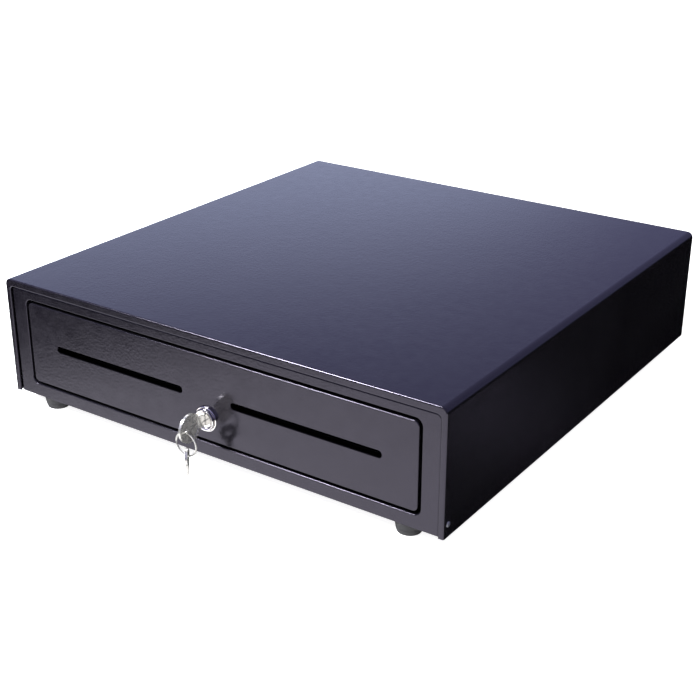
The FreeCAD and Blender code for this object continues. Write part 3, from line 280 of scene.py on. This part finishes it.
def combine(obj, operation, tools):
    """Joins the tools to the object or cuts them out of it, and removes the tools."""
    for tool in tools:
        step = obj.modifiers.new("combine", "BOOLEAN")
        step.operation = operation
        step.solver = "EXACT"
        step.object = tool
        applied(obj)
        bpy.data.objects.remove(tool)
    return obj


def merged(name, parts):
    """One object of several separate solids."""
    bm = bmesh.new()
    for part in parts:
        bm.from_mesh(part.data)
        bpy.data.objects.remove(part)
    return from_bmesh(name, bm)


def solid_of(node):
    """A welded copy of a CAD node's mesh, with its flat faces made whole."""
    source = nodes[node].data
    bm = bmesh.new()
    corners = [bm.verts.new(v.co) for v in source.vertices]
    for face in source.polygons:
        bm.faces.new([corners[i] for i in face.vertices])
    bmesh.ops.remove_doubles(bm, verts=bm.verts, dist=WELD)
    bmesh.ops.dissolve_limit(bm, angle_limit=FLAT_UNDER, verts=bm.verts, edges=bm.edges)
    return from_bmesh(node + "_piece", bm)


def bevelled(obj, width):
    """Rounds the sharp edges."""
    step = obj.modifiers.new("bevel", "BEVEL")
    step.width = width
    step.segments = 2
    step.limit_method = "ANGLE"
    step.angle_limit = BEVEL_OVER
    step.use_clamp_overlap = True
    return applied(obj)


def dress(obj, finish):
    """Gives a finished mesh its material, and smooth shading that keeps flat faces flat."""
    obj.data.shade_smooth()
    obj.data.set_sharp_from_angle(angle=SMOOTH_UNDER)
    step = obj.modifiers.new("normals", "WEIGHTED_NORMAL")
    step.keep_sharp = True
    applied(obj)
    obj.data.materials.clear()
    obj.data.materials.append(finish)


def piece(obj, node, slot=None):
    """Dresses an object in its slot's finish, and lets it stand for a CAD node."""
    slot = slot or SLOTS[node]
    dress(obj, FINISHES[slot])
    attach(obj, body_of[node])
    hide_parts(node)
    return obj


def islands(node):
    """The lowest and highest corner of each separate solid of a CAD node, in order."""
    bm = bmesh.new()
    bm.from_mesh(nodes[node].data)
    bmesh.ops.remove_doubles(bm, verts=bm.verts, dist=WELD)
    left, found = set(bm.verts), []
    while left:
        group, edge = set(), [left.pop()]
        while edge:
            vert = edge.pop()
            group.add(vert)
            near = {e.other_vert(vert) for e in vert.link_edges} & left
            left -= near
            edge.extend(near)
        found.append((Vector([min(v.co[i] for v in group) for i in range(3)]),
                      Vector([max(v.co[i] for v in group) for i in range(3)])))
    bm.free()
    return sorted(found, key=lambda pair: tuple(pair[0]))


def facing(place, axis):
    """A frame at a place whose own Z points along an axis."""
    w = Vector(axis).normalized()
    u = (X if abs(w.dot(Z)) > 0.9 else Z).cross(w).normalized()
    turned = Matrix((u, w.cross(u), w)).transposed().to_4x4()
    turned.translation = place
    return turned


def lathed(name, profile, place, segments=64):
    """A solid turned about the place's own Z from a closed outline of (radius, height)."""
    bm = bmesh.new()
    rings = []
    for radius, height in profile:
        if radius < WELD:
            rings.append([bm.verts.new((0, 0, height))])
            continue
        turns = [2 * math.pi * n / segments for n in range(segments)]
        rings.append([bm.verts.new((radius * math.cos(a), radius * math.sin(a), height))
                      for a in turns])
    for near, far in zip(rings, rings[1:] + rings[:1]):
        for n in range(segments):
            after = (n + 1) % segments
            loop = [near[n % len(near)], near[after % len(near)],
                    far[after % len(far)], far[n % len(far)]]
            corners = list(dict.fromkeys(loop))
            if len(corners) > 2:
                bm.faces.new(corners)
    bm.transform(place)
    return from_bmesh(name, bm)


def wound(name, place, radius, section, turns, level, per_turn=36):
    """Wire wound about the place's own Z: level gives its height after a number of turns."""
    bm = bmesh.new()
    steps = int(turns * per_turn)
    rings = []
    for n in range(steps + 1):
        done = turns * n / steps
        out = Vector((math.cos(2 * math.pi * done), math.sin(2 * math.pi * done), 0))
        centre = out * radius + Z * level(done)
        rings.append([bm.verts.new(centre + out * u + Z * v) for u, v in section])
    for near, far in zip(rings, rings[1:]):
        for n in range(len(section)):
            after = (n + 1) % len(section)
            bm.faces.new((near[n], near[after], far[after], far[n]))
    bm.faces.new(rings[0])
    bm.faces.new(reversed(rings[-1]))
    bm.transform(place)
    return from_bmesh(name, bm)


WIRE_SIDES = 10


def round_section(radius):
    turns = [2 * math.pi * n / WIRE_SIDES for n in range(WIRE_SIDES)]
    return [(radius * math.cos(a), radius * math.sin(a)) for a in turns]


def spring_level(wire, length, turns, closed):
    """The height along a spring whose first and last turns lie closed."""

    def level(done):
        start = wire / 2
        pitch = (length - wire * (1 + 2 * closed)) / (turns - 2 * closed)
        shut = min(done, closed) + max(0.0, done - (turns - closed))
        return start + shut * wire + (done - shut) * pitch

    return level


def slab(name, low, high, place):
    """A box between two corners of a place's own frame, to cut or join with."""
    bm = bmesh.new()
    bmesh.ops.create_cube(bm, size=1)
    low, high = Vector(low), Vector(high)
    bmesh.ops.scale(bm, vec=high - low, verts=bm.verts)
    bmesh.ops.translate(bm, vec=(low + high) / 2, verts=bm.verts)
    bm.transform(place)
    return from_bmesh(name, bm)


# ---- the sheet metal, mouldings and machined pieces ----

# how far the edges of each node are rounded
EDGES = {
    "outer_cover": 0.3, "base_pan": 0.3, "rear_panel": 0.3, "front_frame": 0.3,
    "drawer_front": 0.25, "drawer_tub": 0.3,
    "case_rail_left": 0.3, "case_rail_right": 0.3,
    "drawer_rail_left": 0.3, "drawer_rail_right": 0.3,
    "till_ledge_left": 0.3, "till_ledge_right": 0.3,
    "case_roller_left": 0.5, "case_roller_right": 0.5,
    "drawer_roller_left": 0.5, "drawer_roller_right": 0.5,
    "case_roller_axles": 0.3, "drawer_roller_axles": 0.3,
    "till_tray": 0.4, "coin_tray": 0.4, "clip_rod": 0.4,
    "lock_nut": 0.3, "lock_plug": 0.15, "lock_cam": 0.25, "lock_bar": 0.3, "bar_rivet": 0.4,
    "latch_hook": 0.3, "latch_bracket": 0.3, "latch_pin": 0.3, "solenoid_frame": 0.3,
    "plunger": 0.25, "striker": 0.3, "eject_guides": 0.4, "drawer_switch": 0.3,
    "switch_button": 0.3, "cable_socket": 0.3,
    **{f"bill_clip_{n}": 0.4 for n in range(1, 6)},
}


def rounded_nodes():
    """Every plain metal sheet and moulding, with its edges rounded."""
    for node, width in EDGES.items():
        piece(bevelled(solid_of(node), width * MM), node)


# the foot's screw hole, the recess for the screw's head with its depth, and the foot's
# height, in millimetres
FOOT_HOLE, FOOT_RECESS, RECESS_DEPTH, FOOT_HEIGHT = 2.1, 4.6, 4, 10


def feet():
    """Tapered rubber feet with a rounded rim and a groove round the middle."""
    for node in sorted(n for n in nodes if n.startswith("foot_") and n != "foot_screws"):
        low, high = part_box(node)
        place = Matrix.Translation(((low.x + high.x) / 2, (low.y + high.y) / 2, 0))
        top = (high.x - low.x) / 2 / MM
        outline = [(FOOT_HOLE, RECESS_DEPTH), (FOOT_RECESS, RECESS_DEPTH), (FOOT_RECESS, 0.4),
                   (FOOT_RECESS + 0.3, 0), (top - 2.4, 0), (top - 1.9, 0.2), (top - 1.7, 0.6),
                   (top - 1.0, 3.6), (top - 1.1, 3.8), (top - 1.1, 4.3), (top - 0.9, 4.5),
                   (top - 0.05, 9.2), (top - 0.1, 9.75), (top - 0.4, FOOT_HEIGHT),
                   (FOOT_HOLE, FOOT_HEIGHT)]
        turned = lathed(node + "_rubber", [(r * MM, z * MM) for r, z in outline], place)
        piece(turned, node)


# a shank shorter than this isn't drawn with a tip
NO_SHANK = 0.1 * MM


def screw(name, place, radius, head, shank, length):
    """A domed screw with a cross recess, its head's underside at the place's own zero."""
    tip = [(shank * 0.8, -length), (shank, -length + shank * 0.4)] if length > NO_SHANK else []
    dome = [(radius * 0.96, 0), (radius, head * 0.1), (radius, head * 0.4),
            (radius * 0.88, head * 0.75), (radius * 0.6, head * 0.95), (0, head)]
    made = lathed(name, [(0, -length), *tip, (shank, 0), *dome], place, 40)
    wide, reach, deep = radius * 0.13, radius * 0.62, head * 0.35
    arms = [slab("arm", (-u, -v, deep), (u, v, head * 2), place)
            for u, v in ((wide, reach), (reach, wide))]
    return combine(made, "DIFFERENCE", arms)


def screws(node, axis, head, shank):
    """The screws of a CAD node; axis gives the way that the head of each one faces."""
    made = []
    for low, high in islands(node):
        middle, out = (low + high) / 2, axis((low + high) / 2)
        a = max(range(3), key=lambda i: abs(out[i]))
        radius = (high[a - 1] - low[a - 1]) / 2
        face = middle.copy()
        face[a] = (high[a] if out[a] > 0 else low[a]) - out[a] * head
        length = high[a] - low[a] - head
        made.append(screw(node, facing(face, out), radius, head, shank, length))
    piece(merged(node + "_heads", made), node)


# the height of the head and the radius of the shank of each size of screw
SMALL_SCREW = (0.8 * MM, 1.45 * MM)
FOOT_SCREW = (2.0 * MM, 1.9 * MM)
CAM_SCREW = (1.4 * MM, 1.5 * MM)


def all_screws():
    """The screws of the case, its feet and the lock's cam."""
    screws("rear_screws", lambda at: Y, *SMALL_SCREW)
    screws("cover_screws", lambda at: X * math.copysign(1, at.x), *SMALL_SCREW)
    screws("foot_screws", lambda at: -Z, *FOOT_SCREW)
    screws("cam_screw", lambda at: Y, *CAM_SCREW)


def springs(node, axis, wire, coils, closed=1.0):
    """A coil spring in place of each tube of a CAD node, filling the tube's outer size."""
    made = []
    for low, high in islands(node):
        a = max(range(3), key=lambda i: abs(axis[i]))
        start = (low + high) / 2
        start[a] = low[a]
        radius = (high[a - 1] - low[a - 1]) / 2 - wire / 2
        level = spring_level(wire, high[a] - low[a], coils, closed)
        made.append(wound(node, facing(start, axis), radius, round_section(wire / 2),
                          coils, level))
    piece(merged(node + "_wire", made), node)


def all_springs():
    """The coils that push the drawer open, the plunger out and the clips down."""
    springs("eject_springs", Y, 1.2 * MM, 11)
    springs("plunger_spring", X, 1.2 * MM, 7)
    springs("clip_springs", X, 0.9 * MM, 8, closed=3.0)


PLUG_BORE, BARREL_RADIUS = 6.06, 8.5
# (radius, height) of the lock's rim in millimetres, outwards from the face of the drawer
RIM_OUTLINE = [
    (BARREL_RADIUS, -0.1), (9.85, 0), (10, 0.15), (10, 1.3), (9.85, 1.6), (9.5, 1.75), (9.3, 1.7),
    (9.2, 1.0), (8.85, 1.0), (8.8, 3.2), (8.6, 3.7), (8.15, 3.92), (7.7, 3.92),
    (7.3, 3.6), (7.1, 2.0), (6.6, 1.9), (PLUG_BORE, 1.9),
]
THREAD_PITCH, THREAD_DEPTH, THREAD_START, THREAD_FLAT = 1.0, 0.35, 0.8, 0.1


def lock_housing():
    """The chromed rim with its step and rolled lip, and a threaded barrel behind."""
    low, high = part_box("lock_housing")
    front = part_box("drawer_front")[0].y
    barrel = (high.y - front) / MM
    crests = int((barrel - THREAD_START) / THREAD_PITCH)
    root = BARREL_RADIUS - THREAD_DEPTH
    outline = [(PLUG_BORE, -barrel), (root, -barrel)]
    for n in range(crests, 0, -1):
        at = -THREAD_START - n * THREAD_PITCH
        outline += [(root, at + THREAD_FLAT), (BARREL_RADIUS, at + THREAD_PITCH / 2)]
    outline += [(root, -THREAD_START + THREAD_FLAT), *RIM_OUTLINE]
    place = facing(Vector((0, front, (low.z + high.z) / 2)), -Y)
    turned = lathed("lock_rim", [(r * MM, h * MM) for r, h in outline], place, 96)
    piece(turned, "lock_housing")


# half the key's sheet, the depth of its stamping, the rim of its bow and its rounded edges
KEY_HALF, STAMP, RIM_WIDTH, KEY_EDGE = 1 * MM, 0.25 * MM, 1.9 * MM, 0.14 * MM
RIDGE_PITCH, RIDGE_WIDTH, RIDGE_START, RIDGE_END = 2.6 * MM, 1.1 * MM, 1.5 * MM, 7 * MM
GROOVE_DEPTH, GROOVE_HALF = 0.45 * MM, 0.6 * MM


def key(node, place, centre, bow, blade_start, blade_end, ridges):
    """A key with a raised rim round its bow, stamped faces and a groove along its blade.

    The place's own origin is the middle of the ring's hole, its X goes through the sheet and
    its Y runs along the blade. The centre is that of the bow, as (y, z).
    """
    made = solid_of(node)
    recesses, raised, grooves = [], [], []
    for side in (-1, 1):
        face = Vector((side * KEY_HALF, *centre))
        outline = [(0, -STAMP), (bow - RIM_WIDTH - STAMP, -STAMP), (bow - RIM_WIDTH, 0),
                   (bow - RIM_WIDTH, STAMP), (0, STAMP)]
        recesses.append(lathed("recess", outline, place @ facing(face, X * side)))
        for n in range(ridges):
            across = centre[1] + (n - (ridges - 1) / 2) * RIDGE_PITCH
            low = (side * (KEY_HALF - 2 * STAMP), centre[0] + RIDGE_START, across)
            high = (side * KEY_HALF, centre[0] + RIDGE_END, across + RIDGE_WIDTH)
            raised.append(slab("ridge", [min(p) for p in zip(low, high)],
                               [max(p) for p in zip(low, high)], place))
        edge = sorted((side * (KEY_HALF - GROOVE_DEPTH), side * KEY_HALF * 2))
        grooves.append(slab("groove", (edge[0], blade_start, centre[1] - GROOVE_HALF),
                            (edge[1], blade_end, centre[1] + GROOVE_HALF), place))
    combine(made, "DIFFERENCE", recesses + grooves)
    combine(made, "UNION", raised)
    piece(bevelled(made, KEY_EDGE), node)


def joint_place(name):
    """Where a joint of the record turns, and its axis."""
    found = next(j for j in frame["joints"] if j["name"] == name)
    return Vector(found["pos_m"]), Vector(found["axis"]).normalized()


def keys():
    """The key in the lock, and the spare key that hangs on the ring."""
    hole, _ = joint_place("ring_swing")
    low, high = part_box("key")
    bow = (high.z - low.z) / 2
    centre = (low.y + bow - hole.y, (low.z + high.z) / 2 - hole.z)
    end = high.y - hole.y
    key("key", Matrix.Translation(hole), centre, bow, centre[0] + bow + 1 * MM, end + MM, 3)

    hole, axis = joint_place("spare_swing")
    low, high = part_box("spare_key")
    bow = high.z - hole.z
    hanging = Matrix((axis, -Z, axis.cross(-Z))).transposed().to_4x4()
    hanging.translation = hole
    key("spare_key", hanging, (0, 0), bow, bow + 0.5 * MM, hole.z - low.z + MM, 0)


# half the ring's wire across and through, and the flat on its corners
WIRE_ACROSS, WIRE_THROUGH, WIRE_FLAT = 0.55 * MM, 0.3 * MM, 0.1 * MM
# the turns of the ring's wire, where it steps over itself, and how many turns the step takes
RING_TURNS, STEP_START, STEP_LENGTH = 1.94, 0.93, 0.12


def split_ring():
    """The ring through the bow of the key, of flattened wire that steps over itself."""
    low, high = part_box("key_ring")
    wire = high.y - low.y
    u, v = WIRE_ACROSS, WIRE_THROUGH
    inner, under = u - WIRE_FLAT, v - WIRE_FLAT
    section = [(u, WIRE_FLAT), (u, under), (inner, v), (-inner, v), (-u, under),
               (-u, -under), (-inner, -v), (inner, -v), (u, -under)]

    def level(turns):
        step = min(max((turns - STEP_START) / STEP_LENGTH, 0), 1)
        return (step * step * (3 - 2 * step) - 0.5) * wire / 2

    middle = facing((low + high) / 2, Y)
    radius = (high.x - low.x - wire) / 2
    piece(wound("split_ring", middle, radius, section, RING_TURNS, level, 72), "key_ring")


def solenoid_coil():
    """A moulded bobbin with flanges, and the rows of wire under their tape."""
    low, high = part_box("solenoid_coil")
    length, outer = (high.x - low.x) / MM, (high.z - low.z) / 2 / MM
    bore, core, flange, below_flange = 4.6, 5.4, 1.2, 0.9
    wrap, row, rise = outer - below_flange, 0.8, 0.07
    place = facing(Vector((low.x, (low.y + high.y) / 2, (low.z + high.z) / 2)), X)
    bobbin = [(bore, 0), (outer, 0), (outer, flange), (core, flange),
              (core, length - flange), (outer, length - flange), (outer, length), (bore, length)]
    rows = int((length - 2 * flange) / row)
    turns = [(core, flange), (wrap - rise, flange)]
    for n in range(rows):
        turns += [(wrap, flange + (n + 0.5) * row), (wrap - rise, flange + (n + 1) * row)]
    turns += [(wrap - rise, length - flange), (core, length - flange)]
    for name, outline, slot in (("coil_bobbin", bobbin, "white_nylon"),
                                ("coil_winding", turns, "copper_winding")):
        made = lathed(name, [(r * MM, h * MM) for r, h in outline], place)
        piece(made, "solenoid_coil", slot)


CONTACTS, CONTACT_PITCH, CONTACT_SLOPE = 6, 1.3 * MM, math.radians(-22)
# half a contact's width and thickness, and how far it reaches inwards and outwards
CONTACT_HALF, CONTACT_THIN, CONTACT_IN, CONTACT_OUT = 0.22 * MM, 0.15 * MM, 5 * MM, 4.5 * MM
# how far the contacts lie inside the socket's mouth and above its middle
CONTACT_DEPTH, CONTACT_RISE = 6.5 * MM, 1.2 * MM


def socket_contacts():
    """Sprung contacts sloping down into the mouth of the socket."""
    low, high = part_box("cable_socket")
    made = []
    for n in range(CONTACTS):
        across = (low.x + high.x) / 2 + (n - (CONTACTS - 1) / 2) * CONTACT_PITCH
        at = Vector((across, high.y - CONTACT_DEPTH, (low.z + high.z) / 2 + CONTACT_RISE))
        tilt = Matrix.Translation(at) @ Matrix.Rotation(CONTACT_SLOPE, 4, "X")
        made.append(slab("contact", (-CONTACT_HALF, -CONTACT_IN, -CONTACT_THIN),
                         (CONTACT_HALF, CONTACT_OUT, CONTACT_THIN), tilt))
    wires = bevelled(merged("socket_contacts", made), 0.1 * MM)
    dress(wires, polished("contact_gold", (0.85, 0.6, 0.28), 0.15, 0.3, 0.004 * MM))
    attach(wires, "case")


# ---- light and floor ----

FLOOR_RADIUS = 6.0
FLOOR_GLOW = 0.88
ROOM_LIGHT = 0.75
# what shiny surfaces see: a colour, and the ways along which it grows, each with the level
# where it starts and the level where it is full
SHEENS = [
    # a dim lilac ceiling
    ((0.29, 0.29, 0.56), [((0, 0, 1), -0.1, 0.2)]),
    # a trace of light from the whole front
    ((0.03, 0.02, 0.05), [((0, -1, 0), 0.0, 0.3)]),
    # a white table in front of the drawer
    ((2.05, 2.05, 2.15), [((0.1, 0, -1), 0.322, 0.358), ((0, -1, 0), -0.1, 0.3)]),
    # a pale wall behind on the left, brightest low down
    ((0.76, 0.88, 1.12), [((0, 0, -1), -0.45, -0.25), ((-1, 1, 0), 0.86, 0.945)]),
    # a small patch of table behind on the right
    ((0.14, 0.13, 0.18), [((0.43, 0.79, -0.44), 0.9985, 0.9999)]),
]


def sheen(tree, way, colour, growths):
    """A colour that grows along each of some ways."""
    strength = None
    for axis, start, full in growths:
        dot = tree.nodes.new("ShaderNodeVectorMath")
        dot.operation = "DOT_PRODUCT"
        dot.inputs[1].default_value = Vector(axis).normalized()
        tree.links.new(way, dot.inputs[0])
        growth = tree.nodes.new("ShaderNodeMapRange")
        growth.interpolation_type = "SMOOTHSTEP"
        growth.inputs["From Min"].default_value = start
        growth.inputs["From Max"].default_value = full
        tree.links.new(dot.outputs["Value"], growth.inputs["Value"])
        if strength is not None:
            tree.links.new(strength, growth.inputs["To Max"])
        strength = growth.outputs["Result"]
    made = tree.nodes.new("ShaderNodeBackground")
    made.inputs["Color"].default_value = (*colour, 1)
    tree.links.new(strength, made.inputs["Strength"])
    return made.outputs[0]


def room():
    """White to the eye, an even light on matt surfaces, and soft sheens on shiny ones."""
    world = bpy.data.worlds.new("room")
    bpy.context.scene.world = world
    world.use_nodes = True
    tree = world.node_tree
    tree.nodes.clear()
    way = tree.nodes.new("ShaderNodeTexCoord").outputs["Generated"]
    seen = None
    for colour, growths in SHEENS:
        more = sheen(tree, way, colour, growths)
        if seen is not None:
            both = tree.nodes.new("ShaderNodeAddShader")
            tree.links.new(seen, both.inputs[0])
            tree.links.new(more, both.inputs[1])
            more = both.outputs[0]
        seen = more
    even = tree.nodes.new("ShaderNodeBackground")
    even.inputs["Strength"].default_value = ROOM_LIGHT
    white = tree.nodes.new("ShaderNodeBackground")
    white.inputs["Color"].default_value = (1, 1, 1, 1)
    ray = tree.nodes.new("ShaderNodeLightPath")
    shown = even.outputs[0]
    for chooser, shader in (("Is Glossy Ray", seen), ("Is Camera Ray", white.outputs[0])):
        mix = tree.nodes.new("ShaderNodeMixShader")
        tree.links.new(ray.outputs[chooser], mix.inputs["Fac"])
        tree.links.new(shown, mix.inputs[1])
        tree.links.new(shader, mix.inputs[2])
        shown = mix.outputs[0]
    out = tree.nodes.new("ShaderNodeOutputWorld")
    tree.links.new(shown, out.inputs["Surface"])


def lamp(name, place, aim, size, power, colour):
    """A soft square light at a place, turned to a point."""
    light = bpy.data.lights.new(name, "AREA")
    light.size = size
    light.energy = power
    light.color = colour
    made = bpy.data.objects.new(name, light)
    made.matrix_world = facing(Vector(place), Vector(place) - Vector(aim))
    made.visible_camera = False
    bpy.context.scene.collection.objects.link(made)


def floor():
    """A plain pale floor that glows a little, so that shadows on it stay soft and light."""
    bm = bmesh.new()
    bmesh.ops.create_circle(bm, cap_ends=True, radius=FLOOR_RADIUS, segments=96)
    made = from_bmesh("floor", bm)
    paper = Finish("pale_floor", (0.82, 0.82, 0.82), 0.9, Emission_Strength=FLOOR_GLOW)
    paper.shader.inputs["Emission Color"].default_value = (1, 1, 1, 1)
    paper.rough(paper.spread(paper.noise(20 * MM), 0.85, 0.95))
    made.data.materials.append(paper.made)
    made.visible_glossy = False


camera()
rounded_nodes()
feet()
all_screws()
all_springs()
lock_housing()
keys()
split_ring()
solenoid_coil()
socket_contacts()
room()
lamp("edge_light", place=(-0.75, -0.95, 1.25), aim=(0, -0.1, 0.08), size=0.45, power=70,
     colour=(0.93, 0.95, 1))
floor()
bpy.context.scene.view_settings.view_transform = "Standard"
